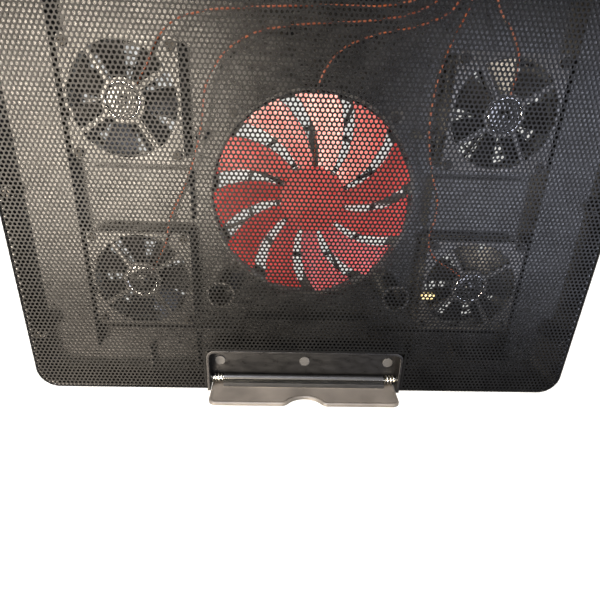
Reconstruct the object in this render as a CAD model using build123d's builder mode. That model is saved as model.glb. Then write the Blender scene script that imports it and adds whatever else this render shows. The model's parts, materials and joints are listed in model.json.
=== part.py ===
from build123d import *
import os
from math import cos, pi, radians, sin

# Laptop cooling pad: a moulded tray under a perforated steel panel, one large and four small fans,
# a sprung stopper flap at the front edge, and two fold-out legs at the back.
# Millimetres. Z is up from the table, X runs left to right, Y from the front edge to the back.
# The origin is on the table under the middle of the pad.

os.makedirs("parts", exist_ok=True)

# ---- driving dimensions -------------------------------------------------------------------------
pad_width = 408.0
pad_depth = 296.0
pad_top = 28.0                  # table to the panel's top face
corner_radius = 16.5
running_gap = 0.05              # shaft in its hole, per side
touch_gap = 0.02                # between still pieces that meet on a round face

front = -pad_depth / 2
rear = pad_depth / 2

# tray
tray_bottom = 2.0
floor_thickness = 2.5
floor_top = tray_bottom + floor_thickness
bottom_edge_radius = 2.0
lip_top = 18.2                  # the outer wall, below the panel's skirt
rim_top = 23.8                  # the inner rim, behind the skirt
rim_inset = 1.0
inner_inset = 3.0
skin = 2.0                      # wall of the raised blocks, which are moulded hollow
block_top = 16.0                # long blocks beside the fans
tall_rib_top = 25.6             # a rib that steadies the panel near the right front corner
small_grille_radius = 31.0
big_grille_radius = 64.5

# panel
panel_thickness = 0.8
panel_roll = 5.0
skirt_bottom = 18.5
panel_underside = pad_top - panel_thickness

# fasteners and posts
post_radius = 4.0
shank_radius = 1.5
head_radius = 3.1
counterbore_depth = 2.2
nut_height = 4.0
support_radius = 10.0
fan_pin_radius = 2.0
fan_screw_radius = 1.05
fan_screw_head = 3.0

# stopper well, flap and hinge
well_width = 150.0
well_depth = 35.6
well_wall = 2.3
well_corner = 6.5
well_floor = 16.3
well_floor_thickness = 1.5
hinge_y = front + 7.0
hinge_z = pad_top - 8.2
flap_width = 144.4
flap_top = pad_top + 17.2
flap_thickness = 3.0
rim_width = 1.75                # raised edge of the flap, outside a fine groove
groove_width = 0.7
groove_depth = 0.5
barrel_radius = 3.1
barrel_length = 126.0
rod_radius = 1.8
shelf_z = pad_top - 2.6
shelf_thickness = 1.6
notch_radius = 16.0
notch_depth = 8.5
rod_slot = 2.2                  # opening along the barrel's top, over the rod
spring_wire = 0.6               # radius of the wire
spring_radius = 2.75
spring_turns = 3
spring_length = 7.4

# small fans
small_fan_x = 118.0
small_fan_rows = (88.0, 204.5)  # centre lines behind the front edge
small_size = 70.0
small_height = 15.0
small_duct = 33.0
small_tip = 32.0
small_hub = 12.6
small_blades = 7
flange_thickness = 2.5
small_screw_pitch = 61.5
motor_base_radius = 13.0
small_tube_radius = 3.7         # tube that carries the bearing and the stator
small_bearing_radius = 2.5
small_shaft_radius = 1.0
small_hub_wall = 1.5
small_top = floor_top + small_height
light_offset = -7.5             # the light's Y, from the fan's centre
light_radius = 2.5

# large fan
big_duct = 67.0
big_duct_wall = 1.5
big_duct_top = 18.5
big_tip = 65.5
big_hub = 21.5
big_hub_top = 20.5
big_hub_bottom = 9.8
big_blades = 11
big_lug_circle = 74.0
big_base_radius = 22.0
big_base_top = floor_top + 2.5
big_tube_radius = 5.5
big_bearing_radius = 4.0
big_shaft_radius = 1.5
big_cup_radius = 18.2           # inside of the hub, round the magnet
big_cup_top = big_hub_top - 2.0
blade_edge = ((18.0, -19.0), (42.0, -11.0), (70.0, 5.0))  # radius, and how far the edge has swept, degrees
blade_half_angle = 12.2
blade_tilt = -16.0
blade_middle = 16.2
blade_thickness = 1.6

# electronics at the rear
board_x = 97.5
board_y = rear - 15.5
board_size = (85.0, 21.0, 1.6)
board_bottom = 7.5
board_top = board_bottom + board_size[2]
socket_x = (104.0, 124.0)
socket_size = (14.5, 14.0, 7.0)
dial_x = 80.0
dial_radius = 8.0
dial_y = rear + 1.6 - dial_radius
dial_z = 11.0
dial_thickness = 3.0
power_light = (62.0, 12.0)      # X and Z

# feet and legs
foot_radius = 7.0
foot_recess = 0.8
foot_places = [(x, y) for x in (-184, 184) for y in (front + 19, rear - 19)]
leg_x = 174.0
leg_width = 27.0
leg_thickness = 6.0
leg_length = 56.0
leg_y = front + 262.0
leg_z = 6.5
leg_barrel = 3.6
leg_pin_radius = 1.5
leg_pin_length = 31.0

wire_radius = 0.55


# ---- helpers ------------------------------------------------------------------------------------
def back(distance):
    """Y of a line that lies this far behind the front edge."""
    return front + distance


def level(z):
    return Plane.XY.offset(z)


def block(x0, x1, y0, y1, z0, z1, mode=Mode.ADD):
    """A box between two corners. Its Y values count from the front edge."""
    with Locations(((x0 + x1) / 2, back((y0 + y1) / 2), (z0 + z1) / 2)):
        Box(abs(x1 - x0), y1 - y0, z1 - z0, mode=mode)


def discs(places, radius, z0, z1, mode=Mode.ADD):
    """Upright cylinders of one size at the given places."""
    with BuildSketch(level(z0)) as outline:
        with Locations(*places):
            Circle(radius)
    extrude(outline.sketch, amount=z1 - z0, mode=mode)


def tubes(places, outer, inner, z0, z1):
    """Upright tubes of one size at the given places."""
    with BuildSketch(level(z0)) as outline:
        with Locations(*places):
            Circle(outer)
            Circle(inner, mode=Mode.SUBTRACT)
    extrude(outline.sketch, amount=z1 - z0)


def bar(start, length, radius, mode=Mode.ADD):
    """A round bar along X from its left end."""
    with BuildSketch(Plane(start, x_dir=(0, 1, 0), z_dir=(1, 0, 0))) as outline:
        Circle(radius)
    extrude(outline.sketch, amount=length, mode=mode)


def finish(part, label):
    part.label = label
    export_step(part, f"parts/{label}.step")


small_fans = {}
for row_name, row in zip(("front", "rear"), small_fan_rows):
    for side_name, side in (("left", -1), ("right", 1)):
        small_fans[f"{row_name}_{side_name}_fan"] = (side * small_fan_x, back(row))

half_pitch = small_screw_pitch / 2
fan_corners = [(x + i, y + j) for x, y in small_fans.values()
               for i in (-half_pitch, half_pitch) for j in (-half_pitch, half_pitch)]
lug_reach = big_lug_circle * cos(radians(45))
big_lugs = [(i * lug_reach, j * lug_reach) for i in (-1, 1) for j in (-1, 1)]
screw_posts = [(side * 195.5, back(y)) for side in (-1, 1) for y in (46, 148, 250)]
well_posts = [(side * 50.0, back(25)) for side in (-1, 1)]
panel_supports = [(side * 62.5, back(81)) for side in (-1, 1)]
board_posts = [(board_x + i * 36, board_y + j * 7) for i in (-1, 1) for j in (-1, 1)]

# ---- bottom tray --------------------------------------------------------------------------------
with BuildPart() as bottom_tray:
    with BuildSketch(level(tray_bottom)):
        RectangleRounded(pad_width, pad_depth, corner_radius)
    extrude(amount=lip_top - tray_bottom)
    fillet(bottom_tray.faces().sort_by(Axis.Z)[0].edges(), bottom_edge_radius)
    for inset, z0, z1, mode in ((rim_inset, lip_top, rim_top, Mode.ADD),
                                (inner_inset, floor_top, rim_top, Mode.SUBTRACT)):
        with BuildSketch(level(z0)):
            RectangleRounded(pad_width - 2 * inset, pad_depth - 2 * inset, corner_radius - inset)
        extrude(amount=z1 - z0, mode=mode)

    # raised blocks beside, between and in front of the fans, each hollow underneath
    for side in (-1, 1):
        for x0, x1, y0, y1, top in ((158, 190, 62, 270, block_top),
                                    (158, 180, 30, 64, block_top),
                                    (82, 146, 129, 164, 13.0),
                                    (0, 47, 41, 57, 15.0)):
            block(side * x0, side * x1, y0, y1, floor_top, top)
    for side in (-1, 1):
        for x0, x1, y0, y1, top in ((160, 188, 190, 268, block_top),
                                    (160, 188, 66, 186, block_top),
                                    (160, 178, 32, 62, block_top),
                                    (84, 144, 131, 162, 13.0),
                                    (1, 45, 43, 55, 15.0)):
            block(side * x0, side * x1, y0, y1, tray_bottom, top - skin, Mode.SUBTRACT)

    # stiffening ribs
    for side in (-1, 1):
        for x0, x1, y0, y1, top in ((56, 150, 44, 45.6, 12.0),
                                    (84, 85.6, 8, 44, 12.0),
                                    (20, 21.6, 5, 41, 12.0),
                                    (120, 121.6, 8, 29, 12.0)):
            block(side * x0, side * x1, y0, y1, floor_top, top)
    block(-150, 40, 264, 265.6, floor_top, 12.0)
    block(121, 160, 29, 30.6, floor_top, tall_rib_top)

    # posts for the panel, the well and the board
    discs(screw_posts, post_radius, floor_top, panel_underside - nut_height - 0.3)
    discs(well_posts, post_radius, floor_top, well_floor - well_floor_thickness - 0.1)
    tubes(panel_supports, support_radius, support_radius - skin, floor_top, panel_underside - 0.2)
    discs(board_posts, 2.5, floor_top, board_bottom)

    # openings under the fans, each left with a grille of rings and spokes
    discs(small_fans.values(), small_grille_radius, tray_bottom, floor_top, Mode.SUBTRACT)
    discs([(0, 0)], big_grille_radius, tray_bottom, floor_top, Mode.SUBTRACT)
    for ring in (12.0, 19.0, 26.0):
        tubes(small_fans.values(), ring + 0.8, ring - 0.8, tray_bottom, floor_top)
    for ring in (24.0, 44.0):
        tubes([(0, 0)], ring + 1.2, ring - 1.2, tray_bottom, floor_top)
    for x, y in small_fans.values():
        with BuildSketch(level(tray_bottom)):
            with Locations((x, y)):
                with PolarLocations((12 + small_grille_radius) / 2, 6):
                    Rectangle(small_grille_radius - 11, 2.0)
        extrude(amount=floor_thickness)
    with BuildSketch(level(tray_bottom)):
        with PolarLocations((24 + big_grille_radius) / 2, 8, start_angle=22.5):
            Rectangle(big_grille_radius - 23, 2.4)
    extrude(amount=floor_thickness)

    # pins that carry the fans, drilled for their screws
    discs(fan_corners, fan_pin_radius, floor_top, small_top - flange_thickness)
    discs(big_lugs, fan_pin_radius, floor_top, floor_top + 2.5)
    discs(fan_corners + big_lugs, fan_screw_radius + touch_gap, tray_bottom + 1, small_top, Mode.SUBTRACT)

    # screw holes up through the posts, with counterbores underneath
    discs(screw_posts, shank_radius + 0.2, tray_bottom, rim_top, Mode.SUBTRACT)
    discs(well_posts, shank_radius + 0.2, tray_bottom, well_floor, Mode.SUBTRACT)
    discs(screw_posts + well_posts, head_radius + 0.3, tray_bottom, tray_bottom + counterbore_depth,
          Mode.SUBTRACT)
    discs(foot_places, foot_radius, tray_bottom, tray_bottom + foot_recess, Mode.SUBTRACT)

    # front wall cut down for the stopper well
    half_well = well_width / 2 + 0.2
    block(-half_well, half_well, -1, well_depth + 0.2, well_floor - well_floor_thickness - 0.1, pad_top,
          Mode.SUBTRACT)

    # rear wall: socket windows, the speed wheel's slot and the power light's hole
    for x in socket_x:
        block(x - 7.5, x + 7.5, pad_depth - 5, pad_depth + 1, board_top - 0.2, board_top + 7.3, Mode.SUBTRACT)
    block(dial_x - 9.5, dial_x + 9.5, pad_depth - 5, pad_depth + 1, dial_z - 0.6, dial_z + 3.6, Mode.SUBTRACT)
    with BuildSketch(Plane.XZ.offset(-rear - 1)):
        with Locations(power_light):
            Circle(1.5 + touch_gap)
    extrude(amount=8, mode=Mode.SUBTRACT)

    # bores in the pocket walls for the leg pins
    for side in (-1, 1):
        bar((side * leg_x - leg_pin_length / 2, leg_y, leg_z), leg_pin_length, leg_pin_radius + touch_gap,
            Mode.SUBTRACT)
finish(bottom_tray.part, "bottom_tray")

# ---- panel --------------------------------------------------------------------------------------
# One pressed sheet whose edges roll down over the tray, notched at the front for the well.
with BuildPart() as mesh_panel:
    with BuildSketch(level(skirt_bottom)):
        RectangleRounded(pad_width, pad_depth, corner_radius)
    extrude(amount=pad_top - skirt_bottom)
    fillet(mesh_panel.faces().sort_by(Axis.Z)[-1].edges(), panel_roll)
    offset(amount=-panel_thickness, openings=mesh_panel.faces().sort_by(Axis.Z)[0])
    with BuildSketch(level(skirt_bottom)):
        with Locations((0, back(well_depth / 2 - 10))):
            RectangleRounded(well_width + 0.5, well_depth + 20.5, well_corner + 0.2)
    extrude(amount=pad_top, mode=Mode.SUBTRACT)
finish(mesh_panel.part, "mesh_panel")

with BuildPart() as panel_nuts:
    with BuildSketch(level(panel_underside - nut_height)):
        with Locations(*screw_posts):
            RegularPolygon(3.0, 6)
            Circle(shank_radius + touch_gap, mode=Mode.SUBTRACT)
    extrude(amount=nut_height - 0.05)
finish(panel_nuts.part, "panel_nuts")


def underside_screws(places, tip):
    """Pan-head screws pointing up out of the counterbores, with a cross recess in each head."""
    head_bottom = tray_bottom + 0.3
    head_top = tray_bottom + counterbore_depth
    with BuildPart() as screws:
        discs(places, head_radius, head_bottom, head_top)
        discs(places, shank_radius, head_top, tip)
        with BuildSketch(level(head_bottom)):
            with Locations(*places):
                Rectangle(3.4, 0.8)
                Rectangle(0.8, 3.4)
        extrude(amount=0.9, mode=Mode.SUBTRACT)
    return screws.part


finish(underside_screws(screw_posts, panel_underside - 0.5), "case_screws")
finish(underside_screws(well_posts, well_floor - 0.4), "well_screws")

# ---- stopper well -------------------------------------------------------------------------------
with BuildPart() as stopper_well:
    block(-well_width / 2, well_width / 2, 0, well_depth, well_floor - well_floor_thickness, pad_top)
    fillet(stopper_well.edges().filter_by(Axis.Z).group_by(Axis.Y)[-1], well_corner)
    with BuildSketch(level(well_floor)):
        with Locations((0, back((well_depth - well_wall) / 2 - 10))):
            RectangleRounded(well_width - 2 * well_wall, well_depth - well_wall + 20, well_corner - well_wall)
    extrude(amount=pad_top, mode=Mode.SUBTRACT)
    fillet(stopper_well.faces().sort_by(Axis.Z)[-1].edges(), 0.5)
    # bores for the rod's ends, and blind holes for the screws
    bar((-well_width / 2 + 0.8, hinge_y, hinge_z), well_width - 1.6, rod_radius + touch_gap, Mode.SUBTRACT)
    discs(well_posts, shank_radius + touch_gap, well_floor - well_floor_thickness, well_floor - 0.3,
          Mode.SUBTRACT)
finish(stopper_well.part, "stopper_well")

with BuildPart() as well_bumpers:
    discs([(x, back(21)) for x in (-66, 0, 66)], 4.0, well_floor, well_floor + 0.8)
    fillet(well_bumpers.faces().filter_by(Axis.Z).group_by(Axis.Z)[-1].edges(), 0.3)
finish(well_bumpers.part, "well_bumpers")

# ---- stopper flap, standing ---------------------------------------------------------------------
# A wall whose outer face is as far from the hinge as the hinge is from the panel's top, so that it
# folds back flush. A shelf and a web join it to a barrel that is open on top, over the rod.
flap_outer = hinge_y - (pad_top - hinge_z)
flap_bottom = hinge_z - 2.9
with BuildSketch(Plane.XZ.offset(-flap_outer)) as wall:
    with Locations((0, (flap_top + flap_bottom) / 2)):
        Rectangle(flap_width, flap_top - flap_bottom)
    fillet(wall.vertices().group_by(Axis.Y)[-1], 5.5)
    with Locations((0, flap_top - notch_depth + notch_radius)):
        Circle(notch_radius, mode=Mode.SUBTRACT)
    fillet(wall.vertices().filter_by_position(Axis.X, -20, 20), 6.0)

# a groove along the edge of the inner face leaves a raised rim above the panel's level
ring = offset(wall.sketch, amount=-rim_width) - offset(wall.sketch, amount=-rim_width - groove_width)
rim_groove = extrude(ring, amount=-2 * groove_depth).moved(Location((0, flap_thickness - groove_depth, 0)))
rim_groove -= Pos(0, flap_outer, pad_top / 2) * Box(pad_width, 20, pad_top + 2)

with BuildPart() as stopper_flap:
    extrude(wall.sketch, amount=-flap_thickness)
    chamfer(stopper_flap.faces().sort_by(Axis.Y)[-1].edges().filter_by_position(Axis.Z, pad_top, flap_top), 0.7)
    chamfer(stopper_flap.faces().sort_by(Axis.Y)[0].edges().filter_by_position(Axis.Z, pad_top, flap_top), 0.5)
    add(rim_groove, mode=Mode.SUBTRACT)
    half_barrel = barrel_length / 2
    with BuildSketch(Plane.YZ.offset(-half_barrel)):
        with Locations((hinge_y, hinge_z)):
            Circle(barrel_radius)
        with BuildLine():
            Polyline((flap_outer + 2.5, shelf_z), (hinge_y - 0.6, shelf_z),
                     (hinge_y - 0.6, shelf_z - shelf_thickness), (hinge_y - 1.9, hinge_z + 2.0),
                     (hinge_y - 2.9, hinge_z), (hinge_y - 4.4, shelf_z - shelf_thickness),
                     (flap_outer + 2.5, shelf_z - shelf_thickness), close=True)
        make_face()
    extrude(amount=barrel_length)
    bar((-half_barrel, hinge_y, hinge_z), barrel_length, rod_radius + running_gap, Mode.SUBTRACT)
    with BuildSketch(Plane.YZ.offset(-half_barrel)):
        with Locations((hinge_y, hinge_z + 4)):
            Rectangle(rod_slot, 8.0)
    extrude(amount=barrel_length, mode=Mode.SUBTRACT)
    # three round recesses in the shelf
    discs([(x, hinge_y - 3.2) for x in (-57, 0, 57)], 1.7, shelf_z - 0.5, shelf_z + 1, Mode.SUBTRACT)
finish(stopper_flap.part, "stopper_flap")

with BuildPart() as hinge_rod:
    bar((-well_width / 2 + 0.9, hinge_y, hinge_z), well_width - 1.8, rod_radius)
    chamfer(hinge_rod.edges().filter_by(GeomType.CIRCLE), 0.3)
finish(hinge_rod.part, "hinge_rod")

# Torsion springs round the rod, in the gaps between the barrel and the well's walls.
for side_name, side in (("left", -1), ("right", 1)):
    middle_x = side * (half_barrel + well_width / 2 - well_wall) / 2
    with BuildPart() as torsion_spring:
        with BuildLine() as coil:
            Helix(spring_length / spring_turns, spring_length, spring_radius,
                  center=(middle_x - spring_length / 2, hinge_y, hinge_z), direction=(1, 0, 0))
        with BuildSketch(Plane(coil.line @ 0, z_dir=coil.line % 0)):
            Circle(spring_wire)
        sweep(is_frenet=True)
    finish(torsion_spring.part, f"{side_name}_torsion_spring")

# ---- large fan ----------------------------------------------------------------------------------
with BuildPart() as big_fan_frame:
    tubes([(0, 0)], big_duct + big_duct_wall, big_duct, floor_top, big_duct_top)
    discs([(0, 0)], big_base_radius, floor_top, big_base_top)
    with BuildSketch(level(floor_top)):
        with PolarLocations((big_base_radius + big_duct) / 2, 4):
            Rectangle(big_duct - big_base_radius + 2, 7.0)
    extrude(amount=big_base_top - floor_top)
    for x, y in big_lugs:
        with BuildSketch(level(floor_top)):
            with Locations(Location((x, y, 0), (0, 0, 45 if x * y > 0 else -45))):
                SlotOverall(12, 9)
        extrude(amount=3.0)
    discs([(0, 0)], big_duct, big_base_top, big_duct_top, Mode.SUBTRACT)
    tubes([(0, 0)], big_tube_radius, big_bearing_radius + touch_gap, big_base_top, 16.0)
    discs(big_lugs, fan_pin_radius + 0.1, floor_top, big_duct_top, Mode.SUBTRACT)
    # passage in the duct's wall for the lead, over the rear strut
    passage_y = pad_depth / 2 + big_duct
    block(-2.5, 3, passage_y - 2, passage_y + 3, big_base_top, 10.5, Mode.SUBTRACT)
finish(big_fan_frame.part, "big_fan_frame")

with BuildPart() as big_fan_bearing:
    tubes([(0, 0)], big_bearing_radius, big_shaft_radius + running_gap, big_base_top + 0.1, 15.8)
finish(big_fan_bearing.part, "big_fan_bearing")


def stator(centre, inner, core, tip, poles, z0, z1):
    """A laminated core with T-shaped poles."""
    with BuildPart() as core_stack:
        with BuildSketch(level(z0)):
            with Locations(centre):
                Circle(core)
                with PolarLocations((core + tip) / 2, poles):
                    Rectangle(tip - core + 1, tip * 0.28)
                with PolarLocations(tip - tip * 0.07, poles):
                    Rectangle(tip * 0.14, tip * 2.7 / poles)
            # the pole faces are round
            with Locations(centre):
                Circle(tip, mode=Mode.INTERSECT)
                Circle(inner, mode=Mode.SUBTRACT)
        extrude(amount=z1 - z0)
    return core_stack.part


finish(stator((0, 0), big_tube_radius + touch_gap, 8.0, 14.6, 6, 8.8, 14.0), "big_fan_stator")

with BuildPart() as big_fan_board:
    tubes([(0, 0)], 14.0, big_tube_radius + touch_gap, big_base_top, big_base_top + 1.0)
finish(big_fan_board.part, "big_fan_board")


def blade_side(angle):
    """Points along one side of a large blade, which sweeps round as it goes out."""
    return [(radius * cos(radians(angle + swept)), radius * sin(radians(angle + swept)))
            for radius, swept in blade_edge]


with BuildPart() as big_blade:
    blade_plane = Plane((0, 0, blade_middle - blade_thickness / 2)).rotated((blade_tilt, 0, 0))
    with BuildSketch(blade_plane):
        with BuildLine():
            leading, trailing = blade_side(-blade_half_angle), blade_side(blade_half_angle)
            ThreePointArc(*leading)
            Line(leading[-1], trailing[-1])
            ThreePointArc(*reversed(trailing))
            Line(trailing[0], leading[0])
        make_face()
    extrude(amount=blade_thickness)

with BuildPart() as big_fan_impeller:
    discs([(0, 0)], big_hub, big_hub_bottom, big_hub_top)
    fillet(big_fan_impeller.faces().filter_by(Axis.Z).sort_by(Axis.Z)[-1].edges(), 0.8)
    with PolarLocations(0, big_blades, start_angle=55.3):
        add(big_blade.part)
    with BuildSketch(level(0)):
        Circle(big_tip)
    extrude(amount=pad_top, mode=Mode.INTERSECT)
    discs([(0, 0)], big_cup_radius, 6.0, big_cup_top, Mode.SUBTRACT)
    tubes([(0, 0)], 4.0, big_shaft_radius + touch_gap, 16.2, big_cup_top)
finish(big_fan_impeller.part, "big_fan_impeller")

with BuildPart() as big_fan_magnet_ring:
    tubes([(0, 0)], big_cup_radius - touch_gap, 15.4, big_hub_bottom + 0.4, 16.4)
finish(big_fan_magnet_ring.part, "big_fan_magnet_ring")

with BuildPart() as big_fan_shaft:
    discs([(0, 0)], big_shaft_radius, big_base_top + 0.4, big_cup_top)
finish(big_fan_shaft.part, "big_fan_shaft")


def top_screws(places, seat):
    """Small pan-head screws that point down, with a cross recess in each head."""
    with BuildPart() as screws:
        discs(places, fan_screw_head, seat, seat + 1.5)
        fillet(screws.faces().filter_by(Axis.Z).group_by(Axis.Z)[-1].edges(), 0.5)
        discs(places, fan_screw_radius, tray_bottom + 1.2, seat)
        with BuildSketch(level(seat + 1.5)):
            with Locations(*places):
                Rectangle(3.0, 0.7)
                Rectangle(0.7, 3.0)
        extrude(amount=-0.8, mode=Mode.SUBTRACT)
    return screws.part


finish(top_screws(big_lugs, floor_top + 3.0), "big_fan_screws")
finish(top_screws(fan_corners, small_top), "small_fan_screws")

# ---- small fans ---------------------------------------------------------------------------------
# The motor base and its struts are on top, and the rotor hangs under them.
tube_bottom = floor_top + 4.5
base_bottom = small_top - 2.0
rotor_bottom = floor_top + 2.0
rotor_top = base_bottom - 0.6
cup_bottom = rotor_bottom + 1.4

# one pitched blade, drawn at the origin, from inside the hub's wall to past the tip
with BuildPart() as small_blade:
    for reach, chord, pitch in ((6.0, 11.0, 42.0), (small_tip + 2, 23.0, 24.0)):
        middle = (rotor_bottom + rotor_top) / 2 + 0.4
        with BuildSketch(Plane((reach, 0, middle), x_dir=(0, 1, 0), z_dir=(1, 0, 0))):
            Rectangle(chord, 1.3, rotation=-pitch)
    loft()

for name, (x, y) in small_fans.items():
    centre = [(x, y)]
    with BuildPart() as frame:
        for z in (floor_top, small_top - flange_thickness):
            with BuildSketch(level(z)):
                with Locations((x, y)):
                    RectangleRounded(small_size, small_size, 4.0)
            extrude(amount=flange_thickness)
        discs(centre, small_duct + 1.5, floor_top, small_top)
        discs(centre, small_duct, floor_top, small_top, Mode.SUBTRACT)
        corners = [(x + i, y + j) for i in (-half_pitch, half_pitch) for j in (-half_pitch, half_pitch)]
        discs(corners, fan_pin_radius + 0.15, floor_top, small_top, Mode.SUBTRACT)
        discs(centre, motor_base_radius, base_bottom, small_top)
        with BuildSketch(level(base_bottom)):
            with Locations((x, y)):
                with PolarLocations((motor_base_radius + small_duct) / 2, 4, start_angle=45):
                    with Locations((0, -4)):
                        Rectangle(small_duct - motor_base_radius + 4, 3.2, rotation=-12)
        extrude(amount=2.0)
        tubes(centre, small_tube_radius, small_bearing_radius + touch_gap, tube_bottom, base_bottom)
        # notch in the top flange for the light
        with Locations((x - small_duct - 0.2, y + light_offset, small_top)):
            Box(3.6, 2 * light_radius + 0.2, 2 * flange_thickness, mode=Mode.SUBTRACT)
    finish(frame.part, f"{name}_frame")

    with BuildPart() as impeller:
        with Locations((x, y, 0)):
            with PolarLocations(0, small_blades):
                add(small_blade.part)
        with BuildSketch(level(0)):
            with Locations((x, y)):
                Circle(small_tip)
        extrude(amount=pad_top, mode=Mode.INTERSECT)
        discs(centre, small_hub, rotor_bottom, rotor_top)
        discs(centre, small_hub - small_hub_wall, cup_bottom, pad_top, Mode.SUBTRACT)
        tubes(centre, 2.4, small_shaft_radius + touch_gap, cup_bottom, tube_bottom - 0.4)
    finish(impeller.part, f"{name}_impeller")

    with BuildPart() as magnet_ring:
        tubes(centre, small_hub - small_hub_wall - touch_gap, 9.7, cup_bottom + 0.4, rotor_top - 0.4)
    finish(magnet_ring.part, f"{name}_magnet_ring")

    with BuildPart() as shaft:
        discs(centre, small_shaft_radius, cup_bottom, base_bottom - 0.4)
    finish(shaft.part, f"{name}_shaft")

    with BuildPart() as bearing:
        tubes(centre, small_bearing_radius, small_shaft_radius + running_gap, tube_bottom + 0.1,
              base_bottom - 0.1)
    finish(bearing.part, f"{name}_bearing")

    core_bottom = tube_bottom + 1.5
    finish(stator((x, y), small_tube_radius + touch_gap, 5.0, 9.2, 4, core_bottom, core_bottom + 5.0),
           f"{name}_stator")

# glossy caps on the motor bases, each with a raised ring
with BuildPart() as small_fan_caps:
    tubes(small_fans.values(), 10.9, 9.9, small_top, small_top + 0.9)
    discs(small_fans.values(), 9.9, small_top, small_top + 0.3)
    discs(small_fans.values(), 2.6, small_top + 0.3, small_top + 0.8)
finish(small_fan_caps.part, "small_fan_caps")

# a light set in the wall of the front right fan, pointing at its hub
light_x = small_fans["front_right_fan"][0] - small_duct - 1.0
light_y = small_fans["front_right_fan"][1] + light_offset
light_z = small_top - flange_thickness + light_radius + 0.1
with BuildPart() as fan_light:
    bar((light_x, light_y, light_z), 7.0, light_radius - 0.1)
    with Locations((light_x + 7.0, light_y, light_z)):
        Sphere(light_radius - 0.1)
finish(fan_light.part, "fan_light")

# ---- controls at the rear -----------------------------------------------------------------------
with BuildPart() as controller_board:
    with BuildSketch(level(board_bottom)):
        with Locations((board_x, board_y)):
            RectangleRounded(board_size[0], board_size[1], 1.0)
    extrude(amount=board_size[2])
    # the strip that the leads plug into, a driver, a coil and three capacitors
    block(59, 107, 271, 275, board_top, board_top + 3.0)
    for x, y, length, width, height in ((-34, 3.5, 6, 5, 1.6), (-6, 1, 7, 7, 3.6), (36, 2, 4, 7, 2.0)):
        with Locations((board_x + x, board_y + y, board_top + height / 2)):
            Box(length, width, height)
    for x in (18, 26, 34):
        with Locations((board_x + x, board_y - 6, board_top + 2.2)):
            Cylinder(2.2, 4.4)
finish(controller_board.part, "controller_board")

socket_length, socket_depth, socket_height = socket_size
socket_y = rear - 0.5 - socket_depth / 2
with BuildPart() as usb_sockets:
    for x in socket_x:
        with Locations((x, socket_y, board_top + socket_height / 2)):
            Box(socket_length, socket_depth, socket_height)
        with Locations((x, socket_y + 1.2, board_top + socket_height / 2)):
            Box(12.5, socket_depth, 5.1, mode=Mode.SUBTRACT)
        with Locations((x, socket_y - 0.8, board_top + socket_height / 2 + 1.2)):
            Box(11.0, socket_depth - 2.5, 1.8)
finish(usb_sockets.part, "usb_sockets")

with BuildPart() as speed_dial_body:
    with Locations((dial_x, dial_y - 2.0, (board_top + dial_z - 0.3) / 2)):
        Box(10.0, 10.0, dial_z - 0.3 - board_top)
    discs([(dial_x, dial_y)], 1.5, dial_z - 0.3, dial_z + dial_thickness + 0.3)
finish(speed_dial_body.part, "speed_dial_body")

with BuildPart() as speed_wheel:
    tubes([(dial_x, dial_y)], dial_radius, 1.5 + running_gap, dial_z, dial_z + dial_thickness)
    chamfer(speed_wheel.edges().filter_by(GeomType.CIRCLE).group_by(SortBy.RADIUS)[-1], 0.4)
    with BuildSketch(level(dial_z)):
        with Locations((dial_x, dial_y)):
            # grip notches round the wheel's edge
            with PolarLocations(dial_radius + 0.1, 30):
                Circle(0.4)
    extrude(amount=dial_thickness, mode=Mode.SUBTRACT)
finish(speed_wheel.part, "speed_wheel")

with BuildPart() as power_led:
    with BuildSketch(Plane.XZ.offset(-rear - 0.2)):
        with Locations(power_light):
            Circle(1.5)
    extrude(amount=9.0)
    with Locations((power_light[0], rear - 8.0, (power_light[1] + board_top) / 2 - 0.7)):
        Box(3.0, 2.4, power_light[1] - board_top - 1.4)
finish(power_led.part, "power_led")

# ---- feet and legs ------------------------------------------------------------------------------
with BuildPart() as rubber_feet:
    discs(foot_places, foot_radius - 0.1, 0, tray_bottom + foot_recess)
    fillet(rubber_feet.faces().filter_by(Axis.Z).group_by(Axis.Z)[0].edges(), 0.8)
finish(rubber_feet.part, "rubber_feet")

leg_tip = leg_y - leg_length
leg_bottom = leg_z - 4.0
for side_name, side in (("left", -1), ("right", 1)):
    x = side * leg_x
    with BuildPart() as leg:
        with BuildSketch(level(leg_bottom)):
            with Locations((x, (leg_tip + leg_y) / 2)):
                Rectangle(leg_width, leg_length)
        extrude(amount=leg_thickness)
        fillet(leg.edges().filter_by(Axis.Z).group_by(Axis.Y)[0], 6.0)
        bar((x - leg_width / 2, leg_y, leg_z), leg_width, leg_barrel)
        with Locations((x, leg_y + 3.0, leg_bottom)):
            Box(leg_width, 6.0, 2 * (leg_z - leg_barrel - leg_bottom), mode=Mode.SUBTRACT)
        # coring from above leaves a web and two side rails
        with Locations((x, leg_y - leg_length / 2 - 2.0, leg_bottom + leg_thickness)):
            Box(leg_width - 6.0, leg_length - 20.0, 7.0, mode=Mode.SUBTRACT)
        # grip slots near the tip
        for step in range(3):
            with Locations((x, leg_tip + 9.0 + 3.0 * step, leg_bottom)):
                Box(14.0, 1.2, 1.0, mode=Mode.SUBTRACT)
        bar((x - leg_width / 2, leg_y, leg_z), leg_width, leg_pin_radius + running_gap, Mode.SUBTRACT)
    finish(leg.part, f"{side_name}_leg")

    with BuildPart() as pad:
        with Locations((x, leg_tip - 1.6, leg_bottom + leg_thickness / 2)):
            Box(13.0, 3.2, leg_thickness)
        fillet(pad.edges().filter_by(Axis.X).group_by(Axis.Y)[0], 1.4)
    finish(pad.part, f"{side_name}_leg_pad")

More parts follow.
